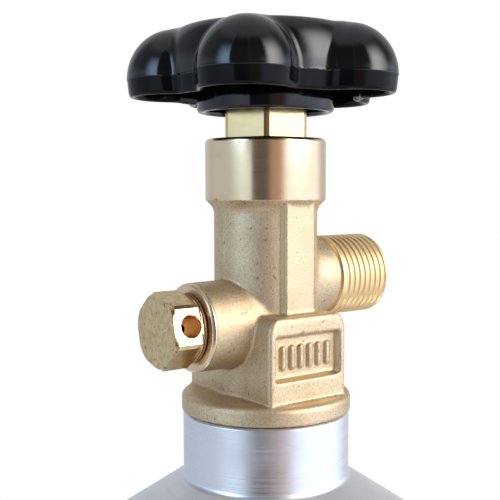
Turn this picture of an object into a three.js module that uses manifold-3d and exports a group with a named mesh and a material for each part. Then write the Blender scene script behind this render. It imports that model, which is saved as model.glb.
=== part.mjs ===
// Gas cylinder with a forged brass shut-off valve, a five-lobe handwheel and a
// burst-disc safety plug. Millimetres, +Z up, origin at the centre of the base.
// The threaded outlet points along +X and the safety plug along -X.
import * as THREE from 'three';
import { mergeVertices } from 'three/addons/utils/BufferGeometryUtils.js';
import Module from 'manifold-3d';

const wasm = await Module();
wasm.setup();

// ---------------------------------------------------------------- driving sizes
const GAP = 0.3;               // assembly clearance between touching pieces

// aluminium cylinder
const NECK_TOP = 358;          // height of the neck face above the floor
const SHELL_R = 66.7;          // 5.25 inch cylinder
const SHELL_WALL = 6.5;
const BASE_T = 10;             // floor thickness
const BASE_CORNER = 14;        // outer corner radius at the floor
const DISH_R = 34;             // shallow dish in the base, inside the standing ring
const DISH_DEPTH = 4;
const NECK_R = 21.0;
const NECK_FILLET = 2.2;
const SHOULDER_DEG = 34;       // slope of the shoulder below the neck
const SHOULDER_TOP = -16.4;    // where the shoulder line would meet the neck wall
const KNUCKLE_R = 42;          // shoulder to side wall
const NECK_BORE_R = 14.2;
const GLAND_R = 16.9;          // o-ring seat in the neck face
const GLAND_DEPTH = 2.3;
const BORE_DEPTH = 31;

// valve body, heights counted from the neck face
const STEM_R = 13.9;           // inlet stem, 1 1/8 inch
const STEM_LEN = 26;
const FLANGE_R = 21.35;
const FLANGE_WALL = 3.2;
const FLANGE_TOP = 5.0;
const BLOCK_HX = 11.8;         // half widths of the square lower block
const BLOCK_HY = 17.0;
const BLOCK_TOP = 25.3;
const BLOCK_CORNER = 3.0;
const BLOCK_EDGE = 0.8;
const BLOCK_FOOT = 3.2;        // height where the block starts, inside the flange
const PANEL = { x: 10.15, z0: 10.1, z1: 21.1, depth: 1.9, draft: 0.7, margin: 1.9 };
const RIB = { count: 6, foot: 1.0, crest: 0.75, height: 1.7, stretch: 3.0, rise: 0.45 };
const COLUMN_R = 12.95;
const PAD_HX = 4.5;            // raised flat strip up the column
const PAD_Y = 13.8;
const BODY_CORE_Z = 10;        // height inside the block where the column and strips start
const COLLAR_R = 15.06;
const COLLAR_Z0 = 52.7;
const COLLAR_Z1 = 67.7;
const COLLAR_EDGE = 0.6;
const COLLAR_SEAT = { r: 14.3, z: 67.0 };   // shallow recess that holds the gasket
const OUTLET = { z: 32.6, r: 10.48, core: 9.5, neck: 9.9, x0: 16.8, x1: 33.0, pitch: 1.814, bore: 2.4 };
const BOSS = { z: 22.5, r: 10.6, root: 11.1, x: 23.2, bore: 6.2, bottom: 13.5 };

// valve insides
const INLET_R = 3.5;
const SEAT_Z = 28.0;           // top of the seat ring
const CHAMBER = { r: 7.5, z0: 26.8, z1: 38 };
const SCREW_BORE_R = 6.6;
const SCREW_TOP = 50.5;
const BONNET_BORE_R = 9.6;
const DISC_PORT_R = 2.0;       // gas passage from the inlet to the burst disc
const LIFT = 2.82;             // seat travel over the full turn of the wheel
const SEAT_DISC_R = 3.7;
const CARRIER = { z0: 30.5, nose: 37.6, z1: 48.5, r: 6.3, noseR: 5.2, pocket: 2.0 };
const TANG = { hx: 1.3, hy: 4.6, z0: 43.1 };
const NECK_RING = { r: 15.5, section: 0.95, z: -1.15 };

// bonnet nut and spindle
const GASKET = { r: 14.0, ri: 9.9, z0: 67.2, z1: 67.7 };
const HEX = { af: 19.8, r: 11.05, z0: 67.9, z1: 80.6, corner: -126.2, chamfer: 1.2, chamferIn: 1.6 };
const SHANK = { r: 9.25, z0: 56 };
const SPINDLE_R = 4.5;
const SPINDLE_BORE_R = 4.8;
const SPINDLE_FLANGE = { r: 7.6, z0: 52, z1: 54.5 };
const GROOVE = { r: 3.3, z0: 60.0, z1: 63.4 };
const SPINDLE_RING = { r: 4.05, section: 0.55, z: 61.0 };
const BACKUP_RING = { ri: 3.55, r: 4.55, z0: 62.1, z1: 63.1 };
const THRUST_WASHER = { ri: 4.85, r: 7.5, z0: 54.8, z1: 55.7 };
const SQUARE = 6.4;            // across the flats of the spindle's square end
const SQUARE_Z = [81.0, 90.3];
const SPINDLE_END = { r: 2.9, z: 93.4, chamfer: 0.5 };

// handwheel: a thick disc with five domed lobes round it, hollow underneath
const LOBES = 5;
const LOBE_DEG = -138.7;       // direction of the first lobe
const LOBE_AT = 22.5;          // radius of the lobe centres
const LOBE_R = 11.65;
const DISC_R = 25.5;           // wall of the disc between the lobes
const DISC_EDGE_IN = 5.0;      // the disc's upper edge rounds in by this much
const DISC_EDGE_DROP = 10.2;   // over this height
const SKIRT_Z = 77.7;
const PARTING_Z = 82.0;        // widest line of the lobes
const WHEEL_TOP = 94.3;
const SKIRT_T = 2.3;
const DECK_T = 2.4;
const RIM_ROUND = 1.0;
const HUB = { r: 17.0, ri: 14.7, z0: 74.2, ceiling: 81.6 };
const INSERT = { r: 6.6, z0: 81.9, z1: 90.0 };
const RECESS = { r: 9.4, z: 90.25 };
const WHEEL_WASHER = { ri: 3.3, r: 7.6, z0: 90.55, z1: 91.25 };
const WHEEL_NUT = { af: 10, r: 5.6, z0: 91.55, z1: 93.1, chamfer: 0.4, chamferIn: 0.7 };
const CAP = { skirt: 92.4, under: 93.7, edge: 94.6, top: 95.3, wall: 1.2 };

// safety plug on the boss
const PLUG_HEX = { af: 16.5, r: 9.25, x0: 24.9, x1: 31.3, end: 32.1, turn: 17.2, endR: 8.6 };
const PLUG_COLLAR = { r: 8.6, gap: 1.0 };
const PLUG_BORE_R = 1.2;
const PLUG_NOSE = 1.9;         // the plug stops this far short of the bore's bottom
const VENT = { r: 2.5, x: 27.6 };
const PLUG_WASHER = { ri: 6.5, r: 8.4, thick: 0.5, gap: 0.25 };
const BURST_DISC = { r: 5.7, thick: 0.4, gap: 1.2 };
const DISC_GASKET = { ri: 3.2, r: 5.7, thick: 0.6, gap: 0.3 };

// -------------------------------------------------------------------- helpers
const { cos, sin, tan, PI, sqrt } = Math;
const rad = (d) => (d * PI) / 180;
const up = (h) => NECK_TOP + h;

// Turn a three.js geometry into a solid, welded and facing outwards.
function solid(geometry) {
  const g = geometry.clone();
  g.deleteAttribute('normal');
  g.deleteAttribute('uv');
  const m = mergeVertices(g.index ? g : mergeVertices(g), 1e-4);
  const p = m.attributes.position.array;
  const tri = [];
  let volume = 0;
  for (let i = 0; i < m.index.count; i += 3) {
    const [a, b, c] = [0, 1, 2].map((k) => m.index.array[i + k]);
    if (a === b || b === c || a === c) continue;
    tri.push([a, b, c]);
    const [A, B, C] = [a, b, c].map((k) => new THREE.Vector3(p[3 * k], p[3 * k + 1], p[3 * k + 2]));
    volume += A.dot(B.cross(C));
  }
  const outward = volume < 0 ? tri.map(([a, b, c]) => [a, c, b]) : tri;
  return new wasm.Manifold(new wasm.Mesh({
    numProp: 3,
    vertProperties: new Float32Array(p),
    triVerts: new Uint32Array(outward.flat()),
  }));
}

// Revolve [radius, height] pairs about Z, or [radius, x] pairs about the X axis at height z.
function turned(profile, segments = 48) {
  const pts = profile.map(([r, z]) => new THREE.Vector2(Math.max(r, 0), z));
  return solid(new THREE.LatheGeometry(pts, segments).rotateX(PI / 2));
}

function turnedX(profile, z, segments = 48) {
  const pts = profile.map(([r, x]) => new THREE.Vector2(Math.max(r, 0), x));
  return solid(new THREE.LatheGeometry(pts, segments).rotateZ(-PI / 2).translate(0, 0, z));
}

const rod = (r, z0, z1, n = 48) => turned([[0, z0], [r, z0], [r, z1], [0, z1]], n);
const rodX = (r, x0, x1, z, n = 48) => turnedX([[0, x0], [r, x0], [r, x1], [0, x1]], z, n);
const ring = (ri, ro, z0, z1, n = 48) =>
  turned([[ri, z0], [ro, z0], [ro, z1], [ri, z1], [ri, z0]], n);
const ringX = (ri, ro, x0, x1, z, n = 48) =>
  turnedX([[ri, x0], [ro, x0], [ro, x1], [ri, x1], [ri, x0]], z, n);

function block(x0, x1, y0, y1, z0, z1) {
  return solid(new THREE.BoxGeometry(x1 - x0, y1 - y0, z1 - z0)
    .translate((x0 + x1) / 2, (y0 + y1) / 2, (z0 + z1) / 2));
}

// Points of an arc about (cx, cy), from angle a0 to a1 in degrees.
function arc(cx, cy, r, a0, a1, steps) {
  return Array.from({ length: steps + 1 }, (_, i) => {
    const a = rad(a0 + ((a1 - a0) * i) / steps);
    return [cx + r * cos(a), cy + r * sin(a)];
  });
}

// Round section ring, such as an o-ring.
function oRing(r, section, z, n) {
  const profile = arc(r, z, section, 0, 360, 6);
  profile[profile.length - 1] = profile[0];
  return turned(profile, n);
}

// Hexagonal bar along Z with its first corner at the given angle.
function hexZ(af, z0, z1, cornerDeg) {
  const r = af / 2 / cos(PI / 6);
  const g = new THREE.CylinderGeometry(r, r, z1 - z0, 6).rotateX(PI / 2);
  return solid(g.rotateZ(rad(cornerDeg - 90)).translate(0, 0, (z0 + z1) / 2));
}

const group = new THREE.Group();
const finishes = {
  aluminium: { color: 0xc9cbcd, metalness: 1.0, roughness: 0.32 },
  forged_brass: { color: 0xcbb089, metalness: 0.9, roughness: 0.5 },
  turned_brass: { color: 0xc79a55, metalness: 1.0, roughness: 0.28 },
  black_plastic: { color: 0x08090b, metalness: 0.0, roughness: 0.18 },
  black_rubber: { color: 0x141414, metalness: 0.0, roughness: 0.7 },
  nylon: { color: 0xe6e2d4, metalness: 0.0, roughness: 0.5 },
  copper: { color: 0xb5683f, metalness: 1.0, roughness: 0.35 },
  steel: { color: 0x9a9da0, metalness: 1.0, roughness: 0.35 },
};

function add(name, finish, body) {
  const mesh = body.getMesh();
  const g = new THREE.BufferGeometry();
  const n = mesh.vertProperties.length / mesh.numProp;
  const p = new Float32Array(n * 3);
  for (let i = 0; i < n; i++) {
    for (let k = 0; k < 3; k++) p[3 * i + k] = mesh.vertProperties[i * mesh.numProp + k];
  }
  g.setAttribute('position', new THREE.BufferAttribute(p, 3));
  g.setIndex(new THREE.BufferAttribute(new Uint32Array(mesh.triVerts), 1));
  g.computeVertexNormals();
  const part = new THREE.Mesh(g, new THREE.MeshStandardMaterial(finishes[finish]));
  part.name = name;
  group.add(part);
}

// ------------------------------------------------------------- gas cylinder
function cylinderShell() {
  const slope = rad(SHOULDER_DEG);
  const line = (r) => up(SHOULDER_TOP) - tan(slope) * (r - NECK_R);
  const knuckleAt = SHELL_R - KNUCKLE_R;
  const tangentR = knuckleAt + KNUCKLE_R * sin(slope);
  const wallTop = line(tangentR) - KNUCKLE_R * cos(slope);
  const filletAt = NECK_R + NECK_FILLET;
  const filletZ = line(filletAt) + NECK_FILLET / cos(slope);
  const innerR = SHELL_R - SHELL_WALL;
  const c = BASE_CORNER;
  const neckEdge = 0.5;
  return turned([
    [0, DISH_DEPTH],
    [DISH_R * 0.45, DISH_DEPTH * 0.92],
    [DISH_R * 0.8, DISH_DEPTH * 0.5],
    [DISH_R, 0],
    ...arc(SHELL_R - c, c, c, -90, 0, 5),
    ...arc(knuckleAt, wallTop, KNUCKLE_R, 0, 90 - SHOULDER_DEG, 7),
    ...arc(filletAt, filletZ, NECK_FILLET, 270 - SHOULDER_DEG, 180, 3),
    [NECK_R, up(-neckEdge)],
    [NECK_R - neckEdge, up(0)],
    [GLAND_R, up(0)],
    [GLAND_R, up(-GLAND_DEPTH)],
    [NECK_BORE_R, up(-GLAND_DEPTH)],
    [NECK_BORE_R, up(-BORE_DEPTH)],
    [NECK_BORE_R + 2.6, up(-BORE_DEPTH - 3)],
    ...arc(knuckleAt, wallTop, KNUCKLE_R - SHELL_WALL, 90 - SHOULDER_DEG, 0, 4),
    ...arc(innerR - c, BASE_T + c, c, 0, -90, 3),
    [0, BASE_T],
  ], 56);
}

// ----------------------------------------------------------------- valve body
// External thread: a bar whose radius follows a helical ridge, with run-in and run-out.
function threadedBar({ z, r, core, x0, x1, pitch }) {
  const steps = 32;
  const around = 24;
  const leadOut = 0.5;
  const g = new THREE.CylinderGeometry(r, r, x1 - x0, around, steps);
  g.rotateZ(-PI / 2).translate((x0 + x1) / 2, 0, 0);
  const p = g.attributes.position;
  for (let i = 0; i < p.count; i++) {
    const [x, y, zz] = [p.getX(i), p.getY(i), p.getZ(i)];
    const rho = sqrt(y * y + zz * zz);
    if (rho < 0.1) continue;
    const phase = x / pitch - Math.atan2(zz, y) / (2 * PI);
    const ridge = 0.5 + 0.5 * cos(2 * PI * phase);
    const fromStart = Math.min(1, (x - x0) / pitch);
    const endCut = Math.max(0, x - (x1 - leadOut));
    const depth = (r - core) * fromStart;
    const radius = Math.min(r - depth * (1 - ridge), r - endCut);
    p.setXYZ(i, x, (y / rho) * radius, (zz / rho) * radius);
  }
  return solid(g.translate(0, 0, z));
}

// Rounded block: an arched outline in XZ, pushed along Y with softened edges.
function lowerBlock() {
  const e = BLOCK_EDGE;
  const x = BLOCK_HX - e;
  const top = up(BLOCK_TOP) - e;
  const c = BLOCK_CORNER;
  const s = new THREE.Shape();
  s.moveTo(-x, up(BLOCK_FOOT));
  s.lineTo(x, up(BLOCK_FOOT));
  s.lineTo(x, top - c);
  s.absarc(x - c, top - c, c, 0, PI / 2, false);
  s.lineTo(-x + c, top);
  s.absarc(-x + c, top - c, c, PI / 2, PI, false);
  s.lineTo(-x, up(BLOCK_FOOT));
  const g = new THREE.ExtrudeGeometry(s, {
    depth: 2 * (BLOCK_HY - e), bevelEnabled: true, bevelThickness: e, bevelSize: e,
    bevelSegments: 2, curveSegments: 5,
  });
  return solid(g.rotateX(PI / 2).translate(0, BLOCK_HY - e, 0));
}

// Drafted pocket in the face at y = side * BLOCK_HY.
function panelPocket(side) {
  const { x, z0, z1, depth, draft } = PANEL;
  const zc = up((z0 + z1) / 2);
  const hz = (z1 - z0) / 2;
  const over = 0.5;
  const grow = draft / depth;
  const g = new THREE.BoxGeometry(2, 2, 2);
  const p = g.attributes.position;
  for (let i = 0; i < p.count; i++) {
    const open = p.getY(i) > 0;
    const k = open ? over * grow : -draft;
    const y = open ? BLOCK_HY + over : BLOCK_HY - depth;
    p.setXYZ(i, Math.sign(p.getX(i)) * (x + k), side * y, zc + Math.sign(p.getZ(i)) * (hz + k));
  }
  return solid(g);
}

// A row of plain raised ribs on the floor of the pocket.
function panelRibs(side) {
  const floor = BLOCK_HY - PANEL.depth;
  const pitch = (2 * (PANEL.x - PANEL.margin)) / RIB.count;
  const zc = up((PANEL.z0 + PANEL.z1) / 2);
  let ribs = null;
  for (let i = 0; i < RIB.count; i++) {
    const g = new THREE.CylinderGeometry(RIB.crest, RIB.foot, RIB.height, 12);
    g.rotateX(-PI / 2).scale(1, 1, RIB.stretch);
    if (side > 0) g.rotateX(PI);
    g.translate((i - (RIB.count - 1) / 2) * pitch, side * (floor + RIB.rise), zc);
    ribs = ribs ? ribs.add(solid(g)) : solid(g);
  }
  return ribs;
}

// Inlet stem and round flange in one turning.
function stemAndFlange() {
  const f = FLANGE_R;
  const lead = 1.2;
  const crown = 1.8;
  return turned([
    [0, up(-STEM_LEN)], [STEM_R - lead, up(-STEM_LEN)], [STEM_R, up(-STEM_LEN + lead)],
    [STEM_R, up(GAP)], [f - 0.3, up(GAP)], [f, up(GAP + 0.3)], [f, up(FLANGE_WALL)],
    ...arc(f - crown, up(FLANGE_WALL), crown, 30, 90, 2),
    [BLOCK_HX, up(FLANGE_TOP + 1)], [0, up(FLANGE_TOP + 1)],
  ], 48);
}

function columnAndCollar() {
  const e = COLLAR_EDGE;
  return turned([
    [0, up(BODY_CORE_Z)], [COLUMN_R, up(BODY_CORE_Z)], [COLUMN_R, up(COLLAR_Z0 - 2.4)],
    [COLUMN_R + 0.4, up(COLLAR_Z0 - 1.5)], [COLLAR_R, up(COLLAR_Z0)], [COLLAR_R, up(COLLAR_Z1 - 0.8)],
    [COLLAR_R - 0.2, up(COLLAR_Z1 - 0.3)], [COLLAR_R - e, up(COLLAR_Z1)], [0, up(COLLAR_Z1)],
  ], 48);
}

// Stepped bore from the seat ring up through the chamber and the screw bore to the collar.
function spindleBore() {
  const lip = 1.2;
  return turned([
    [0, up(SEAT_Z)], [INLET_R + lip, up(SEAT_Z)], [INLET_R + 2, up(CHAMBER.z0)],
    [CHAMBER.r, up(CHAMBER.z0)], [CHAMBER.r, up(CHAMBER.z1)], [SCREW_BORE_R, up(CHAMBER.z1)],
    [SCREW_BORE_R, up(SCREW_TOP)], [BONNET_BORE_R, up(SCREW_TOP)],
    [BONNET_BORE_R, up(COLLAR_SEAT.z)], [COLLAR_SEAT.r, up(COLLAR_SEAT.z)],
    [COLLAR_SEAT.r, up(COLLAR_Z1 + 1)], [0, up(COLLAR_Z1 + 1)],
  ], 32);
}

function valveBody() {
  const bossEdge = 0.6;
  let body = stemAndFlange().add(lowerBlock()).add(columnAndCollar());
  body = body.add(block(-PAD_HX, PAD_HX, -PAD_Y, PAD_Y, up(BODY_CORE_Z + 2), up(COLLAR_Z0 - 0.3)));
  body = body.add(rodX(OUTLET.neck, 0, OUTLET.x0 + 0.2, up(OUTLET.z), 36));
  body = body.add(threadedBar({ ...OUTLET, z: up(OUTLET.z) }));
  body = body.add(turnedX([
    [0, -BOSS.x], [BOSS.r - bossEdge, -BOSS.x], [BOSS.r, -BOSS.x + bossEdge], [BOSS.root, 0], [0, 0],
  ], up(BOSS.z)));

  // passages
  body = body.subtract(rod(INLET_R, up(-STEM_LEN - 1), up(SEAT_Z + 1), 24));
  body = body.subtract(spindleBore());
  body = body.subtract(rodX(OUTLET.bore, INLET_R - 0.5, OUTLET.x1 + 1, up(OUTLET.z), 20));
  body = body.subtract(rodX(DISC_PORT_R, -BOSS.bottom - 1, 0, up(BOSS.z), 16));
  body = body.subtract(rodX(BOSS.bore, -BOSS.x - 1, -BOSS.bottom, up(BOSS.z), 36));
  for (const side of [-1, 1]) {
    body = body.subtract(panelPocket(side));
    body = body.add(panelRibs(side));
  }
  return body;
}

// ---------------------------------------------------- bonnet nut and spindle
function bonnetNut() {
  const { r, z0, z1, chamfer, chamferIn } = HEX;
  const blank = turned([
    [0, up(z0)], [r, up(z0)], [r, up(z1 - chamfer)], [r - chamferIn, up(z1)], [0, up(z1)],
  ], 60);
  let nut = hexZ(HEX.af, up(z0), up(z1), HEX.corner).intersect(blank);
  nut = nut.add(rod(SHANK.r, up(SHANK.z0), up(z0 + 0.5), 36));
  return nut.subtract(rod(SPINDLE_BORE_R, up(SHANK.z0 - 1), up(z1 + 1), 32));
}

function upperSpindle() {
  const s = SQUARE / 2;
  const end = SPINDLE_END;
  let spindle = turned([
    [0, up(SPINDLE_FLANGE.z0)], [SPINDLE_FLANGE.r, up(SPINDLE_FLANGE.z0)],
    [SPINDLE_FLANGE.r, up(SPINDLE_FLANGE.z1)], [SPINDLE_R, up(SPINDLE_FLANGE.z1)],
    [SPINDLE_R, up(GROOVE.z0)], [GROOVE.r, up(GROOVE.z0)], [GROOVE.r, up(GROOVE.z1)],
    [SPINDLE_R, up(GROOVE.z1)], [SPINDLE_R, up(SQUARE_Z[0])], [end.r, up(SQUARE_Z[0])],
    [end.r, up(end.z - end.chamfer)], [end.r - end.chamfer, up(end.z)], [0, up(end.z)],
  ], 32);
  spindle = spindle.add(block(-s, s, -s, s, up(SQUARE_Z[0] - 0.5), up(SQUARE_Z[1])));
  const { hx, hy, z0 } = TANG;
  return spindle.add(block(-hx, hx, -hy, hy, up(z0), up(SPINDLE_FLANGE.z0 + 0.5)));
}

// Screwed seat carrier: the spindle's tang drives its cross slot, and it rises as it turns.
function lowerPlug() {
  const { z0, nose, z1, r, noseR, pocket } = CARRIER;
  const plug = turned([
    [0, up(z0 + pocket)], [SEAT_DISC_R + GAP, up(z0 + pocket)], [SEAT_DISC_R + GAP, up(z0)],
    [noseR - 0.4, up(z0)], [noseR, up(z0 + 0.6)], [noseR, up(nose)],
    [r - 0.7, up(nose)], [r, up(nose + 0.7)], [r, up(z1 - 0.6)], [r - 0.6, up(z1)], [0, up(z1)],
  ], 36);
  const slotX = TANG.hx + GAP;
  const slotZ = TANG.z0 - LIFT - 0.4;
  return plug.subtract(block(-slotX, slotX, -r - 1, r + 1, up(slotZ), up(z1 + 1)));
}

// ------------------------------------------------------------------ handwheel
// Straight wall with a rounded foot, then an elliptical edge that reaches in over a height to a flat top.
function domed(r, z0, top, reach, drop, segments, steps) {
  const edge = Array.from({ length: steps + 1 }, (_, i) => {
    const a = (PI / 2) * (i / steps);
    return [r - reach * (1 - cos(a)), up(top - drop + drop * sin(a))];
  });
  return turned([
    [0, up(z0)], [r - RIM_ROUND, up(z0)], [r - 0.3 * RIM_ROUND, up(z0 + 0.7 * RIM_ROUND)],
    ...edge, [0, up(top)],
  ], segments);
}

// The wheel's outer form, or its hollow when it is inset.
function lobedForm(z0, top, inset, segments) {
  const discR = DISC_R - inset;
  const lobeR = LOBE_R - inset;
  let form = domed(discR, z0, top, DISC_EDGE_IN, DISC_EDGE_DROP - inset, 2 * segments, 4);
  const lobe = domed(lobeR, z0, top, lobeR, top - PARTING_Z, segments, 6).translate([LOBE_AT, 0, 0]);
  for (let i = 0; i < LOBES; i++) {
    form = form.add(lobe.rotate([0, 0, LOBE_DEG + (i * 360) / LOBES]));
  }
  return form;
}

function handwheel() {
  const outer = lobedForm(SKIRT_Z, WHEEL_TOP, 0, 32);
  const hollow = lobedForm(SKIRT_Z - 2, WHEEL_TOP - DECK_T, SKIRT_T, 24);
  const { r, z0 } = HUB;
  const hub = turned([
    [0, up(z0)], [r - 1, up(z0)], [r - 0.3, up(z0 + 0.35)], [r, up(z0 + 1.1)],
    [r, up(WHEEL_TOP - 1)], [0, up(WHEEL_TOP - 1)],
  ], 40);
  let wheel = outer.subtract(hollow).add(hub);
  wheel = wheel.subtract(rod(HUB.ri, up(HUB.z0 - 1), up(HUB.ceiling), 40));
  wheel = wheel.subtract(rod(INSERT.r + GAP, up(HUB.ceiling - 1), up(RECESS.z + 1), 32));
  return wheel.subtract(rod(RECESS.r, up(RECESS.z), up(WHEEL_TOP + 1), 36));
}

// Metal bush moulded into the hub, with a square hole for the spindle.
function wheelInsert() {
  const s = SQUARE / 2 + GAP / 2;
  return rod(INSERT.r, up(INSERT.z0), up(INSERT.z1), 32)
    .subtract(block(-s, s, -s, s, up(INSERT.z0 - 1), up(INSERT.z1 + 1)));
}

function wheelNut() {
  const { af, r, z0, z1, chamfer, chamferIn } = WHEEL_NUT;
  const blank = turned([
    [0, up(z0)], [r, up(z0)], [r, up(z1 - chamfer)], [r - chamferIn, up(z1)], [0, up(z1)],
  ], 36);
  return hexZ(af, up(z0), up(z1), 30).intersect(blank)
    .subtract(rod(SPINDLE_END.r + GAP, up(z0 - 1), up(z1 + 1), 24));
}

// Push-in cover disc, slightly crowned, hollow underneath over the nut.
function wheelCap() {
  const r = RECESS.r - GAP;
  const { skirt, under, edge, top, wall } = CAP;
  return turned([
    [0, up(under)], [r - wall, up(under)], [r - wall, up(skirt)], [r, up(skirt)],
    [r, up(edge)], [r - 0.5, up(top - 0.3)], [r * 0.5, up(top - 0.1)], [0, up(top)],
  ], 36);
}

// ---------------------------------------------------------------- safety plug
function safetyPlug() {
  const { af, r, x0, x1, end, turn, endR } = PLUG_HEX;
  const cornerR = af / 2 / cos(PI / 6);
  const zc = up(BOSS.z);
  const bar = new THREE.CylinderGeometry(cornerR, cornerR, end - x0, 6, 1);
  // a corner lies at `turn` from +Y towards +Z
  bar.rotateZ(PI / 2).rotateX(rad(turn - 30)).translate(-(x0 + end) / 2, 0, zc);
  const blank = turnedX([
    [0, -end], [endR, -end], [r, -x1], [r, -x0 - 0.3], [r - 0.55, -x0], [0, -x0],
  ], zc);
  let plug = solid(bar).intersect(blank);
  plug = plug.add(rodX(PLUG_COLLAR.r, -x0 - 0.3, -BOSS.x - PLUG_COLLAR.gap, zc, 40));
  plug = plug.add(rodX(BOSS.bore - GAP, -x0, -BOSS.bottom - PLUG_NOSE, zc, 36));
  plug = plug.subtract(rodX(PLUG_BORE_R, -VENT.x - 0.5, -BOSS.bottom, zc, 24));
  const vent = new THREE.CylinderGeometry(VENT.r, VENT.r, af + 4, 32);
  vent.rotateX(rad(turn - 30)).translate(-VENT.x, 0, zc);
  return plug.subtract(solid(vent));
}

// The copper washer under the plug's collar, and the burst disc with its gasket in the boss.
function plugWasher() {
  const { ri, r, thick, gap } = PLUG_WASHER;
  return ringX(ri, r, -BOSS.x - gap - thick, -BOSS.x - gap, up(BOSS.z), 28);
}

function burstDisc() {
  const { r, thick, gap } = BURST_DISC;
  return rodX(r, -BOSS.bottom - gap - thick, -BOSS.bottom - gap, up(BOSS.z), 20);
}

function discGasket() {
  const { ri, r, thick, gap } = DISC_GASKET;
  return ringX(ri, r, -BOSS.bottom - gap - thick, -BOSS.bottom - gap, up(BOSS.z), 20);
}

// ------------------------------------------------------------------- assembly
const flatRing = ({ ri, r, z0, z1 }, segments) => ring(ri, r, up(z0), up(z1), segments);
const seal = ({ r, section, z }, segments) => oRing(r, section, up(z), segments);

add('cylinder_shell', 'aluminium', cylinderShell());
add('neck_o_ring', 'black_rubber', seal(NECK_RING, 28));
add('valve_body', 'forged_brass', valveBody());
add('bonnet_gasket', 'black_rubber', flatRing(GASKET, 48));
add('bonnet_nut', 'turned_brass', bonnetNut());
add('upper_spindle', 'turned_brass', upperSpindle());
add('spindle_o_ring', 'black_rubber', seal(SPINDLE_RING, 20));
add('spindle_backup_ring', 'nylon', flatRing(BACKUP_RING, 20));
add('thrust_washer', 'nylon', flatRing(THRUST_WASHER, 24));
add('lower_plug', 'turned_brass', lowerPlug());
add('seat_disc', 'nylon', rod(SEAT_DISC_R, up(SEAT_Z + GAP), up(CARRIER.z0 + CARRIER.pocket - GAP), 32));
add('handwheel', 'black_plastic', handwheel());
add('wheel_insert', 'turned_brass', wheelInsert());
add('wheel_washer', 'steel', flatRing(WHEEL_WASHER, 24));
add('wheel_nut', 'steel', wheelNut());
add('wheel_cap', 'black_plastic', wheelCap());
add('safety_plug', 'turned_brass', safetyPlug());
add('safety_washer', 'copper', plugWasher());
add('burst_disc', 'copper', burstDisc());
add('disc_gasket', 'nylon', discGasket());

export default group;
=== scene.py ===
"""Looks of a gas cylinder with a forged brass shut-off valve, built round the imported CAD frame.

Lengths below are millimetres. Heights are counted from the neck face of the cylinder, as in the CAD source,
and mesh_object() turns them into metres in the row frame.
"""

import math

import bmesh
import bpy
import numpy as np
from mathutils import Matrix, Vector


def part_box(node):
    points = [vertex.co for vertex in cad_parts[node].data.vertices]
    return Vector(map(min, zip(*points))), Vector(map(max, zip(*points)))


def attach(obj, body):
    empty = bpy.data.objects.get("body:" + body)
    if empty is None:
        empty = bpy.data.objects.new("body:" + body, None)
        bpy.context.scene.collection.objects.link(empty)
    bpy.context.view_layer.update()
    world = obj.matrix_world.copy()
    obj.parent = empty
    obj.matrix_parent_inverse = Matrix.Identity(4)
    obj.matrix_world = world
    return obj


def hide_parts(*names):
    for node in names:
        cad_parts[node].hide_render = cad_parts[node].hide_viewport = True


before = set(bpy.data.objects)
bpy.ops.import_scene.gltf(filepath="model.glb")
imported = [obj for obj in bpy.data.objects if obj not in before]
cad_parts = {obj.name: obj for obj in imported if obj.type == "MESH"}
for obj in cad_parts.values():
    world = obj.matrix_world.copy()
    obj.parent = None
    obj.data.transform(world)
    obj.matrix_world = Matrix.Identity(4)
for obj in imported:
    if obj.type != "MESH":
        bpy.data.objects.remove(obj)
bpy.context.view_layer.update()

MM = 0.001
NECK_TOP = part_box("cylinder_shell")[1].z / MM
GAP = 0.3                      # assembly clearance between touching pieces
ON_AXIS = 0.01                 # smallest radius in a turned profile that closes on its axis

# gas cylinder
SHELL_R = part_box("cylinder_shell")[1].x / MM
SHELL_WALL = 6.5
BASE_T = 10
BASE_CORNER = 14
DISH_R = 34                    # shallow dish in the base, inside the standing ring
DISH_DEPTH = 4
NECK_R = 21.0
NECK_FILLET = 2.2
SHOULDER_DEG = 34
SHOULDER_TOP = -16.4           # where the shoulder line would meet the neck wall
KNUCKLE_R = 42                 # shoulder to side wall
NECK_BORE_R = 14.2
BORE_DEPTH = 31
GLAND_R = 16.9                 # o-ring seat in the neck face
GLAND_DEPTH = 2.3

# valve body
STEM_R = 13.9
STEM_LEN = 26
STEM_LEAD = 1.2
STEM_TOP = 0.9                 # the stem ends this far up inside the flange
INLET_R = 3.5
FLANGE_R = 21.35
FLANGE_WALL = 3.2
FLANGE_TOP = 5.0
FLANGE_CROWN = 1.8
BLOCK_HX = 11.8                # half widths of the square lower block
BLOCK_HY = 17.0
BLOCK_TOP = 25.3
BLOCK_CORNER = 3.0
BLOCK_DRAFT = 0.022
PANEL_HX = 10.15
PANEL_Z = 15.6
PANEL_HZ = 5.5
PANEL_DEPTH = 1.9
PANEL_DRAFT = 0.37
RIB_COUNT = 6
RIB_MARGIN = 1.9               # from the panel's edge to the row of ribs
RIB_R = 0.9
RIB_HALF = 2.1                 # half the straight length of a rib
COLUMN_R = 12.95
PAD_HX = 4.5                   # raised flat strip up the column
PAD_Y = 13.8
FLASH_HEIGHT = 0.16            # flash line of the dies
FLASH_WIDTH = 0.4
COLLAR_R = 15.06
COLLAR_Z0 = 52.7
COLLAR_Z1 = 67.7
SEAT_R = 14.3                  # recess for the gasket
SEAT_Z = 67.0
OUTLET_Z = 32.6
OUTLET_R = 10.48
OUTLET_CORE = 10.12
OUTLET_NECK = 9.9
OUTLET_X0 = 16.8
OUTLET_X1 = 33.0
OUTLET_PITCH = 1.814
OUTLET_BORE = 2.4
OUTLET_BORE_X = 3              # where the bore starts, inside the chamber
BOSS_Z = 22.5
BOSS_R = 10.6
BOSS_ROOT = 11.1
BOSS_X = 23.2
BOSS_BORE = 6.2
BOSS_BOTTOM = 13.5
FORGING_LOW = (-23.6, -22.8, -0.4)    # corners and step of the grid the forging is made on
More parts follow.
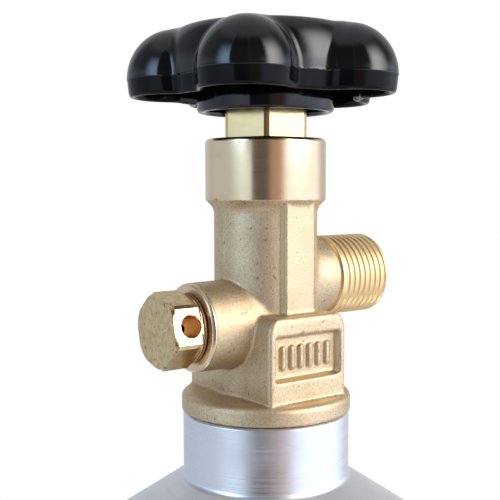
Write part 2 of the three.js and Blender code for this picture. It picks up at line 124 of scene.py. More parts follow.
FORGING_HIGH = (20.2, 22.8, 54.1)
FORGING_STEP = 0.36

# passages in the valve body
EASE = 0.35                    # the forging's passages are this much wider than the CAD's
INLET_TOP = 29
CHAMBER_R = 7.5
CHAMBER_Z0 = 26.8
CHAMBER_Z1 = 38
SEAT_RING_R = 4.7
SEAT_RING_TOP = 28
SCREW_BORE_R = 6.6
SCREW_Z0 = 37
SCREW_Z1 = 51
BONNET_BORE_R = 9.6
BONNET_BORE_Z = 50.2
DISC_PORT_R = 2.0

# bonnet nut and gasket
HEX_AF = 19.8
HEX_R = 11.05
HEX_Z0 = 67.9
HEX_Z1 = 80.6
HEX_CORNER = -126.2            # direction of one corner
HEX_CHAMFER = 1.2
GASKET_R = 14.0
GASKET_RI = 9.9
GASKET_Z0 = 67.2
GASKET_Z1 = 67.7
SHANK_R = 9.25
SHANK_Z0 = 56
SPINDLE_BORE_R = 4.8
UNCUT = 99                     # larger than any hexagon here, so the level keeps its full corners

# handwheel
LOBES = 5
LOBE_DEG = -138.7              # direction of the first lobe
LOBE_AT = 22.5                 # radius of the lobe centres
LOBE_R = 11.65
DISC_R = 25.5
DISC_EDGE_IN = 5.0             # the disc's upper edge rounds in by this much
DISC_EDGE_DROP = 10.2          # over this height
SKIRT_Z = 77.7
PARTING_Z = 82.0
WHEEL_TOP = 94.3
SKIRT_T = 2.3
DECK_T = 2.4
CREASE = 1.3                   # blend between the disc and a lobe
CREASE_INSIDE = CREASE + 0.6
HUB_R = 17.0
HUB_RI = 14.7
HUB_Z0 = 74.2
HUB_CEILING = 81.6
INSERT_R = 6.6
RECESS_R = 9.4
RECESS_Z = 90.25

# safety plug and its washer
PLUG_AF = 16.5
PLUG_X0 = 24.9
PLUG_X1 = 31.3
PLUG_END = 32.1
PLUG_TURN = 17.2
PLUG_CORNER_R = 9.25
PLUG_BORE_R = 1.2
PLUG_COLLAR_R = 8.6
VENT_R = 2.5
VENT_X = 27.6
VENT_FLARE = 1.25              # how much wider the cutter is, past each mouth
DRILL_MARK = 0.09
WASHER_RI = 6.5
WASHER_R = 8.4


# ------------------------------------------------------------------ mesh helpers
def mesh_object(name, verts, faces, sharp=32):
    """A smooth-shaded closed mesh from points in mm above the neck face."""
    verts = np.asarray(verts, float) + (0, 0, NECK_TOP)
    mesh = bpy.data.meshes.new(name)
    mesh.from_pydata((verts * MM).tolist(), [], [tuple(f) for f in faces])
    tidy = bmesh.new()
    tidy.from_mesh(mesh)
    bmesh.ops.remove_doubles(tidy, verts=tidy.verts, dist=1e-7)
    bmesh.ops.dissolve_degenerate(tidy, dist=1e-7, edges=tidy.edges)
    bmesh.ops.recalc_face_normals(tidy, faces=tidy.faces)
    tidy.to_mesh(mesh)
    tidy.free()
    mesh.shade_smooth()
    mesh.set_sharp_from_angle(angle=math.radians(sharp))
    obj = bpy.data.objects.new(name, mesh)
    bpy.context.scene.collection.objects.link(obj)
    return obj


def dress(obj, material, body, slot, *nodes):
    """Gives a piece its material, its body and the CAD nodes it stands for. The slot argument is not used.
    """
    obj.data.materials.clear()
    obj.data.materials.append(material)
    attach(obj, body)
    if nodes:
        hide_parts(*nodes)
    return obj


def arc(cx, cy, radius, start, end, steps):
    angles = np.radians(np.linspace(start, end, steps + 1))
    return [(cx + radius * math.cos(a), cy + radius * math.sin(a)) for a in angles]


def soften(profile, radius, steps=3):
    """Rounds the corners of an open polyline of (radius, height) pairs."""
    out = [profile[0]]
    for before, here, after in zip(profile, profile[1:], profile[2:]):
        p, a, b = (np.array(v, float) for v in (here, before, after))
        la, lb = np.linalg.norm(a - p), np.linalg.norm(b - p)
        ua, ub = (a - p) / la, (b - p) / lb
        cut = min(radius, 0.45 * la, 0.45 * lb)
        if abs(np.dot(ua, ub)) > 0.995:
            out.append(tuple(p))
            continue
        for t in np.linspace(0, 1, steps + 1):
            q = (1 - t) ** 2 * (p + ua * cut) + 2 * t * (1 - t) * p + t * t * (p + ub * cut)
            out.append(tuple(q))
    out.append(profile[-1])
    return out


def skin(name, rows, ring=False, sharp=32):
    """A closed surface over rows of points, each row a closed loop with the same count."""
    rows = np.asarray(rows, float)
    m, n, _ = rows.shape
    faces = []
    last = m if ring else m - 1
    for i in range(last):
        j = (i + 1) % m
        for k in range(n):
            after = (k + 1) % n
            faces.append((i * n + k, i * n + after, j * n + after, j * n + k))
    verts = rows.reshape(-1, 3)
    if not ring:
        faces.append(tuple(range(n)))
        faces.append(tuple((m - 1) * n + k for k in range(n)))
    return mesh_object(name, verts, faces, sharp)


def turned(name, profile, segments=160, ring=False, sharp=32):
    """A turned piece about Z. An open profile is capped with flat ends."""
    angles = np.linspace(0, 2 * math.pi, segments, endpoint=False)
    rows = [np.stack([r * np.cos(angles), r * np.sin(angles), np.full(segments, z)], 1)
            for r, z in profile]
    return skin(name, rows, ring, sharp)


def turned_x(name, profile, height, segments=128, ring=False, sharp=32):
    """A turned piece about the X axis at a height. The profile holds (radius, x) pairs."""
    angles = np.linspace(0, 2 * math.pi, segments, endpoint=False)
    rows = [np.stack([np.full(segments, x), r * np.cos(angles), height + r * np.sin(angles)], 1)
            for r, x in profile]
    return skin(name, rows, ring, sharp)


def cut_with(obj, tool):
    """Boolean difference, applied, and the tool deleted."""
    modifier = obj.modifiers.new("cut", "BOOLEAN")
    modifier.operation = "DIFFERENCE"
    modifier.solver = "EXACT"
    modifier.object = tool
    depsgraph = bpy.context.evaluated_depsgraph_get()
    mesh = bpy.data.meshes.new_from_object(obj.evaluated_get(depsgraph))
    obj.modifiers.clear()
    obj.data = mesh
    mesh.shade_smooth()
    mesh.set_sharp_from_angle(angle=math.radians(25))
    bpy.data.objects.remove(tool, do_unlink=True)
    return obj


def hex_angles(af, corner_r, per_flat=6, per_corner=4):
    """Angles round a hexagon from a flat's centre, with points where flats meet the cut corners."""
    edge = math.acos(min(1.0, af / 2 / corner_r))
    angles = []
    for i in range(6):
        centre = i * math.pi / 3
        angles += list(centre + np.linspace(-edge, edge, per_flat + 1))
        gap = math.pi / 3 - 2 * edge
        angles += list(centre + edge + np.linspace(0, gap, per_corner + 1)[1:-1])
    return np.array(angles)


def hex_radius(angles, af, corner_r):
    """Radius of a hexagon at each angle, with its corners cut to a circle."""
    turn = (angles + math.pi / 6) % (math.pi / 3) - math.pi / 6
    return np.minimum(af / 2 / np.cos(turn), corner_r)


# ---------------------------------------------------------- solid from a distance field
def smooth_min(a, b, blend):
    """The lower of two fields, rounded where they meet."""
    h = np.clip(0.5 + 0.5 * (b - a) / blend, 0, 1)
    return b * (1 - h) + a * h - blend * h * (1 - h)


def smooth_max(a, b, blend):
    return -smooth_min(-a, -b, blend)


def surface_net(name, field, low, high, step, sharp=60):
    """Mesh of the surface field(x, y, z) = 0 on a grid, with its points pulled onto the surface."""
    axes = [np.arange(low[i], high[i] + step, step) for i in range(3)]
    x, y, z = np.meshgrid(*axes, indexing="ij")
    value = field(x, y, z).astype(np.float32)
    inside = value < 0
    shape = tuple(s - 1 for s in value.shape)
    total = np.zeros(shape + (3,), np.float32)
    count = np.zeros(shape, np.float32)
    crossings = []
    for axis in range(3):
        a = [slice(None)] * 3
        b = [slice(None)] * 3
        a[axis], b[axis] = slice(None, -1), slice(1, None)
        a, b = tuple(a), tuple(b)
        hit = inside[a] != inside[b]
        t = np.where(hit, value[a] / np.where(hit, value[a] - value[b], 1), 0)
        crossings.append(hit)
        others = [k for k in range(3) if k != axis]
        for da in (0, 1):
            for db in (0, 1):
                src = [slice(None)] * 3
                for d, other in ((da, others[0]), (db, others[1])):
                    src[other] = slice(d, shape[other] + d)
                part, along = hit[tuple(src)], t[tuple(src)]
                count += part
                total[..., axis] += part * along
                total[..., others[0]] += part * da
                total[..., others[1]] += part * db
    cells = np.argwhere(count > 0)
    index = -np.ones(shape, int)
    index[tuple(cells.T)] = np.arange(len(cells))
    local = total[tuple(cells.T)] / count[tuple(cells.T)][:, None]
    points = np.array(low) + (cells + local) * step
    for _ in range(3):
        points = pull_to_surface(field, points, step)
    faces = []
    for axis in range(3):
        u, v = [(1, 2), (2, 0), (0, 1)][axis]
        at = np.argwhere(crossings[axis])
        keep = (at[:, u] > 0) & (at[:, v] > 0) & (at[:, u] < shape[u]) & (at[:, v] < shape[v])
        at = at[keep]
        ring = []
        for du, dv in ((1, 1), (0, 1), (0, 0), (1, 0)):
            cell = at.copy()
            cell[:, u] -= du
            cell[:, v] -= dv
            ring.append(index[tuple(cell.T)])
        quads = np.stack(ring, 1)
        flip = ~inside[tuple(at.T)]
        quads[flip] = quads[flip][:, ::-1]
        faces.append(quads)
    return mesh_object(name, points, np.concatenate(faces).tolist(), sharp)


def pull_to_surface(field, points, step):
    """One Newton step towards the surface, kept within half a grid step."""
    e = 0.02
    p = points.T
    here = field(*p)
    slope = np.stack([
        field(p[0] + e, p[1], p[2]) - here,
        field(p[0], p[1] + e, p[2]) - here,
        field(p[0], p[1], p[2] + e) - here,
    ], 1) / e
    size = np.maximum((slope ** 2).sum(1), 0.05)
    move = -slope * (here / size)[:, None]
    return points + np.clip(move, -step / 2, step / 2)


# ------------------------------------------------------------------- materials
class Shader:
    """A node material with a few short ways to add nodes."""

    def __init__(self, name, **sockets):
        self.material = bpy.data.materials.new(name)
        self.material.use_nodes = True
        self.tree = self.material.node_tree
        self.bsdf = self.tree.nodes["Principled BSDF"]
        for socket, value in sockets.items():
            self.bsdf.inputs[socket.replace("_", " ")].default_value = value
        self.coordinates = self.tree.nodes.new("ShaderNodeTexCoord").outputs["Object"]

    def node(self, kind, **values):
        made = self.tree.nodes.new(kind)
        for key, value in values.items():
            setattr(made, key, value)
        return made

    def feed(self, socket, value):
        if isinstance(value, (int, float, tuple, list)):
            socket.default_value = value
        else:
            self.tree.links.new(value, socket)

    def stretched(self, sx, sy, sz):
        made = self.node("ShaderNodeMapping")
        self.feed(made.inputs["Vector"], self.coordinates)
        made.inputs["Scale"].default_value = (sx, sy, sz)
        return made.outputs["Vector"]

    def noise(self, scale, detail=4.0, roughness=0.55, vector=None):
        made = self.node("ShaderNodeTexNoise")
        self.feed(made.inputs["Vector"], vector or self.coordinates)
        made.inputs["Scale"].default_value = scale
        made.inputs["Detail"].default_value = detail
        made.inputs["Roughness"].default_value = roughness
        return made.outputs["Fac"]

    def remap(self, value, low, high, to_low, to_high):
        made = self.node("ShaderNodeMapRange")
        self.feed(made.inputs["Value"], value)
        ends = {"From Min": low, "From Max": high, "To Min": to_low, "To Max": to_high}
        for socket, number in ends.items():
            made.inputs[socket].default_value = number
        return made.outputs["Result"]

    def math(self, operation, a, b):
        made = self.node("ShaderNodeMath", operation=operation)
        self.feed(made.inputs[0], a)
        self.feed(made.inputs[1], b)
        return made.outputs[0]

    def mix(self, factor, a, b):
        made = self.node("ShaderNodeMix", data_type="RGBA")
        self.feed(made.inputs["Factor"], factor)
        self.feed(made.inputs["A"], a if not isinstance(a, tuple) else (*a, 1))
        self.feed(made.inputs["B"], b if not isinstance(b, tuple) else (*b, 1))
        return made.outputs["Result"]

    def bump(self, height, strength, distance, normal=None):
        made = self.node("ShaderNodeBump")
        self.feed(made.inputs["Height"], height)
        made.inputs["Strength"].default_value = strength
        made.inputs["Distance"].default_value = distance
        if normal is not None:
            self.feed(made.inputs["Normal"], normal)
        return made.outputs["Normal"]

    def finish(self, colour, roughness, normal):
        for socket, value in (("Base Color", colour), ("Roughness", roughness), ("Normal", normal)):
            self.feed(self.bsdf.inputs[socket], value)
        return self.material


def forged_brass():
    """Shot-blasted forging: mottled, finely grained, specked, and nicked along its edges."""
    s = Shader("forged_brass_skin", Metallic=1.0)
    patches = s.remap(s.noise(140, 3, 0.5), 0.35, 0.68, 0.0, 1.0)
    grain = s.noise(2900, 3, 0.65)
    colour = s.mix(patches, (0.69, 0.54, 0.345), (0.62, 0.47, 0.285))
    colour = s.mix(s.remap(grain, 0.50, 0.70, 0.0, 0.7), colour, (0.88, 0.74, 0.52))
    colour = s.mix(s.remap(grain, 0.47, 0.30, 0.0, 0.6), colour, (0.38, 0.28, 0.16))
    specks = s.remap(s.noise(850, 2, 0.5), 0.66, 0.73, 0.0, 0.7)
    colour = s.mix(specks, colour, (0.25, 0.16, 0.09))
    edge = s.remap(s.node("ShaderNodeNewGeometry").outputs["Pointiness"], 0.53, 0.58, 0.0, 1.0)
    nicks = s.math("MULTIPLY", edge, s.remap(s.noise(620, 3, 0.6), 0.50, 0.62, 0.0, 0.75))
    colour = s.mix(nicks, colour, (0.36, 0.22, 0.13))
    roughness = s.remap(s.noise(500, 3), 0.3, 0.7, 0.40, 0.50)
    normal = s.bump(s.noise(240, 2, 0.5), 0.16, 0.0005)
    normal = s.bump(s.noise(2600, 4, 0.7), 0.85, 0.00013, normal)
    return s.finish(colour, roughness, normal)


def turned_metal(name, light, dark, axis, rough, ring_scale=5200, anisotropy=0.0, depth=0.00003):
    """Machined metal with fine rings about an axis: 2 is Z, 0 is X."""
    s = Shader(name, Metallic=1.0, Anisotropic=anisotropy)
    scale = [14.0, 14.0, 14.0]
    scale[axis] = ring_scale
    rings = s.noise(1.0, 3, 0.6, s.stretched(*scale))
    stain = s.remap(s.noise(90, 4, 0.6), 0.42, 0.72, 0.0, 1.0)
    colour = s.mix(stain, light, dark)
    colour = s.mix(s.remap(rings, 0.3, 0.7, 0.0, 0.12), colour, dark)
    ring_gloss = s.remap(rings, 0.3, 0.7, -0.05, 0.07)
    roughness = s.math("ADD", ring_gloss, s.remap(stain, 0, 1, rough, rough + 0.06))
    fine = s.noise(2200, 2, 0.5)
    normal = s.bump(rings, 0.4, depth)
    normal = s.bump(fine, 0.06, 0.00002, normal)
    if anisotropy:
        tangent = s.node("ShaderNodeTangent", direction_type="RADIAL", axis="Z" if axis == 2 else "X")
        s.feed(s.bsdf.inputs["Tangent"], tangent.outputs["Tangent"])
    return s.finish(colour, roughness, normal)


def gloss_plastic():
    """Glossy moulding, duller on the scuffed wall, with painted shade on the skirt: its reflection is
    turned down below the parting line.
    """
    s = Shader("gloss_black_plastic", Metallic=0.0, IOR=1.5)
    # painted shade: the skirt below the parting line reflects less, standing in for the dark valve it faces
    skirt = s.node("ShaderNodeAttribute", attribute_name="skirt").outputs["Fac"]
    s.feed(s.bsdf.inputs["Specular IOR Level"], s.remap(skirt, 0, 1, 0.5, 0.15))
    haze = s.noise(60, 4, 0.6)
    colour = s.mix(haze, (0.0012, 0.0013, 0.0018), (0.0035, 0.0036, 0.0042))
    scuff = s.node("ShaderNodeAttribute", attribute_name="scuff").outputs["Fac"]
    worn = s.math("MULTIPLY", scuff, s.remap(s.noise(400, 4, 0.6), 0.35, 0.65, 0.7, 1.0))
    colour = s.mix(worn, colour, (0.006, 0.006, 0.006))
    gloss = s.remap(s.noise(220, 5, 0.65), 0.3, 0.75, 0.04, 0.10)
    roughness = s.math("ADD", gloss, s.math("MULTIPLY", worn, 0.10))
    normal = s.bump(s.noise(180, 3, 0.5), 0.05, 0.0006)
    normal = s.bump(s.noise(1600, 2, 0.5), 0.05, 0.00006, normal)
    return s.finish(colour, roughness, normal)


def plain_finish(name, light, dark, metallic, low, high, scale=400, depth=0.0001):
    """Small parts: mottled colour, uneven gloss and a fine grain."""
    s = Shader(name, Metallic=metallic)
    colour = s.mix(s.noise(scale, 4, 0.6), light, dark)
    roughness = s.remap(s.noise(scale * 1.7, 3), 0.3, 0.7, low, high)
    normal = s.bump(s.noise(scale * 5, 3), 0.3, depth)
    return s.finish(colour, roughness, normal)


def plug_brass():
    """Speckled machined brass, with a painted warm glow inside the drilled hole for the light it bounces
    round itself.
    """
    s = Shader("plug_brass", Metallic=1.0)
    stain = s.remap(s.noise(620, 4, 0.6), 0.35, 0.65, 0, 1)
    colour = s.mix(stain, (0.80, 0.61, 0.33), (0.60, 0.43, 0.21))
    spots = s.remap(s.noise(900, 2, 0.5), 0.63, 0.70, 0.0, 0.8)
    colour = s.mix(spots, colour, (0.27, 0.17, 0.09))
    hole_glow = s.node("ShaderNodeAttribute", attribute_name="hole_glow").outputs["Fac"]
    # painted light: brighter, warmer brass inside the cross hole, standing in for light bounced round the
    # hole
    colour = s.mix(hole_glow, colour, (0.90, 0.56, 0.27))
    gloss = s.remap(s.noise(1050, 3), 0.3, 0.7, 0.16, 0.27)
    roughness = s.math("ADD", gloss, s.math("MULTIPLY", hole_glow, 0.08))
    return s.finish(colour, roughness, s.bump(s.noise(3100, 3), 0.3, 0.00003))


def pale_floor():
    s = Shader("pale_floor", Metallic=0.0)
    colour = s.mix(s.noise(6, 3), (0.90, 0.90, 0.89), (0.94, 0.94, 0.93))
    roughness = s.remap(s.noise(30, 3), 0.3, 0.7, 0.7, 0.85)
    return s.finish(colour, roughness, s.bump(s.noise(120, 3), 0.1, 0.0005))


BRASS_LIGHT, BRASS_DARK = (0.88, 0.68, 0.40), (0.70, 0.48, 0.24)
MATERIALS = {
    "forged_brass": forged_brass(),
    "collar_brass": turned_metal(
        "collar_brass", (0.85, 0.68, 0.45), (0.78, 0.60, 0.38), 2, 0.17, 6400, 0.2, 0.00001),
    "hex_brass": plain_finish(
        "hex_brass", (0.80, 0.61, 0.32), (0.74, 0.55, 0.27), 1.0, 0.16, 0.26, 180, 0.00002),
    "thread_brass": turned_metal("thread_brass", (0.94, 0.70, 0.38), (0.86, 0.60, 0.29), 0, 0.40),
    "rim_brass": turned_metal("rim_brass", (0.90, 0.72, 0.48), (0.78, 0.56, 0.32), 0, 0.25),
    "plug_brass": plug_brass(),
    "turned_brass": turned_metal("turned_brass", BRASS_LIGHT, BRASS_DARK, 2, 0.25),
    "aluminium": turned_metal(
        "brushed_aluminium", (0.81, 0.82, 0.84), (0.77, 0.78, 0.80), 2, 0.29, 2600, 0.55, 0.00002),
    "black_plastic": gloss_plastic(),
    "black_rubber": plain_finish("black_rubber", (0.014, 0.014, 0.015), (0.03, 0.03, 0.03), 0.0, 0.5, 0.7),
    "nylon": plain_finish("nylon", (0.82, 0.80, 0.72), (0.74, 0.72, 0.64), 0.0, 0.4, 0.55),
    "copper": plain_finish("copper", (0.58, 0.34, 0.18), (0.40, 0.22, 0.12), 1.0, 0.30, 0.45),
    "steel": plain_finish("steel", (0.62, 0.63, 0.65), (0.48, 0.49, 0.51), 1.0, 0.28, 0.42),
}


# --------------------------------------------------------------- gas cylinder
def gas_cylinder():
    slope = math.radians(SHOULDER_DEG)

    def line(r):
        return SHOULDER_TOP - math.tan(slope) * (r - NECK_R)

    floor = -NECK_TOP
    centre_r = SHELL_R - KNUCKLE_R
    centre_z = line(centre_r + KNUCKLE_R * math.sin(slope)) - KNUCKLE_R * math.cos(slope)
    fillet_r = NECK_R + NECK_FILLET
    fillet_z = line(fillet_r) + NECK_FILLET / math.cos(slope)
    inner_r = SHELL_R - SHELL_WALL
    c = BASE_CORNER
    bore_flare = (NECK_BORE_R + 2.6, -BORE_DEPTH - 3)
    # outside, from the middle of the dish up to the neck face
    profile = [(ON_AXIS, floor + DISH_DEPTH), (DISH_R * 0.45, floor + DISH_DEPTH * 0.92)]
    profile += [(DISH_R * 0.8, floor + DISH_DEPTH * 0.5), (DISH_R, floor)]
    profile += arc(SHELL_R - c, floor + c, c, -90, 0, 16)
    profile += arc(centre_r, centre_z, KNUCKLE_R, 0, 90 - SHOULDER_DEG, 28)
    profile += arc(fillet_r, fillet_z, NECK_FILLET, 270 - SHOULDER_DEG, 180, 10)
    profile += soften([(NECK_R, -2), (NECK_R, -0.5), (NECK_R - 0.5, 0), (GLAND_R + 1, 0)], 0.15)
    # inside, from the o-ring seat down to the middle of the floor
    profile += [(GLAND_R, 0), (GLAND_R, -GLAND_DEPTH)]
    profile += [(NECK_BORE_R, -GLAND_DEPTH), (NECK_BORE_R, -BORE_DEPTH), bore_flare]
    profile += arc(centre_r, centre_z, KNUCKLE_R - SHELL_WALL, 90 - SHOULDER_DEG, 0, 10)
    profile += arc(inner_r - c, floor + BASE_T + c, c, 0, -90, 6)
    profile += [(ON_AXIS, floor + BASE_T)]
    shell = turned("gas_cylinder", profile, segments=256)
    dress(shell, MATERIALS["aluminium"], "cylinder", "aluminium", "cylinder_shell")


# ------------------------------------------------------------------ valve body
def forging_field(x, y, z):
    """Signed distance, near enough, of the forged body with its drilled passages."""
    rho = np.hypot(x, y)
    side = np.abs(y)
    # flange with a rounded top edge
    q = np.stack([np.maximum(rho - (FLANGE_R - FLANGE_CROWN), 0), np.maximum(z - FLANGE_WALL, 0)])
    flange = np.hypot(q[0], q[1]) - FLANGE_CROWN
    crown = z - (FLANGE_TOP + 0.055 * (FLANGE_R - rho))
    flange = smooth_max(flange, crown, blend=0.9)
    # square block, drafted away from the parting plane at y = 0
    hx = BLOCK_HX + BLOCK_DRAFT * (BLOCK_HY - side)
    tall = 1.5 * BLOCK_CORNER
    dx = np.maximum(np.abs(x) - (hx - BLOCK_CORNER), 0) / BLOCK_CORNER
    dz = np.maximum(z - (BLOCK_TOP - tall), 0) / tall
    arch = (np.hypot(dx, dz) - 1) * BLOCK_CORNER
    block = smooth_max(arch, side - BLOCK_HY, blend=1.1)
    # column, its flat strips and the swell under the collar
    cone = 0.62 * (rho - COLLAR_R - 0.95 * (z - COLLAR_Z0 - 0.1))
    column = smooth_min(rho - COLUMN_R, np.maximum(cone, rho - COLLAR_R), blend=0.9)
    pad = smooth_max(np.abs(x) - PAD_HX, side - PAD_Y, blend=0.45)
    pad = smooth_max(pad, z - (COLLAR_Z0 - 0.5), blend=0.4)
    body = smooth_min(column, pad, blend=0.35)
    body = smooth_min(body, block, blend=0.9)
    body = smooth_min(body, flange, blend=0.75)
    # side bosses
    boss_r = BOSS_ROOT - (BOSS_ROOT - BOSS_R) * np.clip(-x / BOSS_X, 0, 1)
    boss_ends = np.maximum(x, -x - (BOSS_X - 0.9))
    boss = smooth_max(np.hypot(y, z - BOSS_Z) - boss_r, boss_ends, blend=0.3)
    outlet_ends = np.maximum(-x, x - (OUTLET_X0 + 0.3))
    outlet = smooth_max(np.hypot(y, z - OUTLET_Z) - OUTLET_NECK, outlet_ends, blend=0.2)
    body = smooth_min(body, boss, blend=0.8)
    body = smooth_min(body, outlet, blend=1.4)
    # flash line of the dies, then the flat ends under the collar and on the neck
    body = body - FLASH_HEIGHT * np.exp(-((y / FLASH_WIDTH) ** 2)) * (z > FLANGE_TOP + 1)
    body = smooth_max(body, z - (COLLAR_Z0 + 0.6), blend=0.2)
    body = smooth_max(body, GAP - z, blend=0.3)
    body = ribbed_panels(body, x, side, z)
    return drilled(body, x, y, z, rho)


def ribbed_panels(body, x, side, z):
    """Cuts the drafted pocket into both faces of the block and raises a row of plain ribs in it."""
    depth = BLOCK_HY - side
    wide = np.abs(x) - (PANEL_HX - PANEL_DRAFT * depth)
    tall = np.abs(z - PANEL_Z) - (PANEL_HZ - PANEL_DRAFT * depth)
    outline = smooth_max(wide, tall, blend=0.9)
    pocket = smooth_max(outline, depth - PANEL_DEPTH, blend=0.4)
    body = smooth_max(body, -pocket, blend=0.45)
    pitch = 2 * (PANEL_HX - RIB_MARGIN) / RIB_COUNT
    for i in range(RIB_COUNT):
        at = (i - (RIB_COUNT - 1) / 2) * pitch
        along = np.maximum(np.abs(z - PANEL_Z) - RIB_HALF, 0)
        floor = side - (BLOCK_HY - PANEL_DEPTH)
        rib = np.sqrt((x - at) ** 2 + along ** 2 + floor ** 2) - RIB_R
        body = smooth_min(body, rib, blend=0.35)
    return body


def drilled(body, x, y, z, rho):
    """Cuts the inlet, chamber, screw bore and the side passages, a little wide of the CAD."""
    outlet_rho = np.hypot(y, z - OUTLET_Z)
    boss_rho = np.hypot(y, z - BOSS_Z)
    # the seat ring stands in the chamber up to its top, and nothing of it is left above that
    clear = 9
    seat_ring = SEAT_RING_R - rho - clear * (z > SEAT_RING_TOP)
    chamber_wall = np.maximum(rho - CHAMBER_R - EASE, CHAMBER_Z0 - z)
    cuts = [
        np.maximum(rho - INLET_R, z - INLET_TOP),
        np.maximum(chamber_wall, np.maximum(z - CHAMBER_Z1, seat_ring)),
        np.maximum(rho - SCREW_BORE_R - EASE, np.maximum(SCREW_Z0 - z, z - SCREW_Z1)),
        np.maximum(rho - BONNET_BORE_R - EASE, BONNET_BORE_Z - z),
        np.maximum(outlet_rho - OUTLET_BORE - EASE, OUTLET_BORE_X - x),
        np.maximum(boss_rho - DISC_PORT_R, x),
        np.maximum(boss_rho - BOSS_BORE - EASE, x + BOSS_BOTTOM - EASE),
    ]
    for cut in cuts:
        body = np.maximum(body, -cut)
    return body


def valve_body():
    forging = surface_net(
        "valve_forging", forging_field, FORGING_LOW, FORGING_HIGH, FORGING_STEP)
    dress(forging, MATERIALS["forged_brass"], "cylinder", "forged_brass", "valve_body")
    inlet_stem()
    valve_collar()
    safety_boss_rim()
    outlet_thread()


def inlet_stem():
    inner = INLET_R + 0.05
    outline = soften([
        (inner, -STEM_LEN), (STEM_R - STEM_LEAD, -STEM_LEN), (STEM_R, -STEM_LEN + STEM_LEAD),
        (STEM_R, STEM_TOP), (inner, STEM_TOP),
    ], 0.2)
    inlet = turned("inlet_stem", outline + [outline[0]], ring=False)
    dress(inlet, MATERIALS["turned_brass"], "cylinder", "turned_brass", "valve_body")


def valve_collar():
    """Turned collar over the top of the forging, with the gasket's recess in its upper face."""
    r, z0, z1 = COLLAR_R, COLLAR_Z0, COLLAR_Z1
    outline = soften([
        (BONNET_BORE_R, z0 + 4), (BONNET_BORE_R, z0 - 0.1), (r - 0.2, z0 - 0.1), (r, z0 + 0.1),
        (r, z1 - 0.8), (r - 0.2, z1 - 0.3), (r - 0.58, z1), (SEAT_R, z1), (SEAT_R, SEAT_Z),
        (BONNET_BORE_R, SEAT_Z), (BONNET_BORE_R, z0 + 4),
    ], 0.22, 4)
    collar = turned("valve_collar", outline[:-1], 256, ring=True)
    dress(collar, MATERIALS["collar_brass"], "cylinder", "turned_brass", "valve_body")


def safety_boss_rim():
    """Machined end face of the safety boss."""
    inner, outer = BOSS_BORE + 0.2, BOSS_R + 0.06
    outline = soften([
        (inner, -BOSS_X + 2), (inner, -BOSS_X), (BOSS_R - 0.55, -BOSS_X), (outer, -BOSS_X + 0.6),
        (outer, -BOSS_X + 1.05), (inner, -BOSS_X + 1.4), (inner, -BOSS_X + 2),
    ], 0.1, 2)
    rim = turned_x("safety_boss_rim", outline[:-1], BOSS_Z, ring=True)
    dress(rim, MATERIALS["rim_brass"], "cylinder", "turned_brass", "valve_body")


def outlet_thread():
    """Outlet with a helical ridge, from inside the forged neck to its flat end, and its gas bore."""
    around = 144
    per_turn = 14
    plain, fade = 0.7, 1.2     # length before the thread starts, and over which it deepens
    lead_in, lead_out = 0.5, 0.3
    angles = np.linspace(0, 2 * math.pi, around, endpoint=False)
    start = OUTLET_X0 - 1.2
    stations = np.arange(OUTLET_X0, OUTLET_X1 - 0.05, OUTLET_PITCH / per_turn)
    rows = [
        np.full((around, 2), (start, OUTLET_NECK - 0.9)),
        np.full((around, 2), (OUTLET_X0 - 0.01, OUTLET_NECK - 0.1)),
    ]
    for x in stations:
        turn = (x / OUTLET_PITCH - angles / (2 * math.pi)) % 1.0
        tri = np.abs(turn - 0.5) * 2
        ridge = 0.5 - 0.5 * np.cos(math.pi * np.clip(1.15 * (1 - tri), 0, 1))
        share = min(1.0, max(0.0, (x - OUTLET_X0 - plain) / fade))
        depth = (OUTLET_R - OUTLET_CORE) * share
        lead = max(0.0, OUTLET_X0 + lead_in - x)
        end = max(0.0, x - (OUTLET_X1 - lead_out))
        radius = np.minimum(OUTLET_R - depth * (1 - ridge), OUTLET_R - end)
        radius = np.minimum(radius, OUTLET_R - lead)
        rows.append(np.stack([np.full(around, x), radius], 1))
    face = [(OUTLET_X1 - 0.02, OUTLET_R - 0.32), (OUTLET_X1, OUTLET_R - 0.42)]
    face += [(OUTLET_X1, OUTLET_BORE + 0.5), (OUTLET_X1 - 0.45, OUTLET_BORE), (start, OUTLET_BORE)]
    rows += [np.full((around, 2), pair) for pair in face]
    x, radius = np.moveaxis(np.array(rows), 2, 0)
    points = np.stack([x, radius * np.cos(angles), OUTLET_Z + radius * np.sin(angles)], 2)
    thread = skin("outlet_thread", points, ring=True, sharp=50)
    dress(thread, MATERIALS["thread_brass"], "cylinder", "turned_brass", "valve_body")


# ------------------------------------------------------------ bonnet and gasket
def bonnet_seal():
    start = GASKET_Z0 + 0.22
    outline = soften([
        (GASKET_RI, start), (GASKET_RI, GASKET_Z0), (GASKET_R, GASKET_Z0), (GASKET_R, GASKET_Z1),
        (GASKET_RI, GASKET_Z1), (GASKET_RI, start),
    ], 0.12, 2)
    gasket = turned("bonnet_seal", outline[:-1], ring=True)
    dress(gasket, MATERIALS["black_rubber"], "cylinder", "black_rubber", "bonnet_gasket")


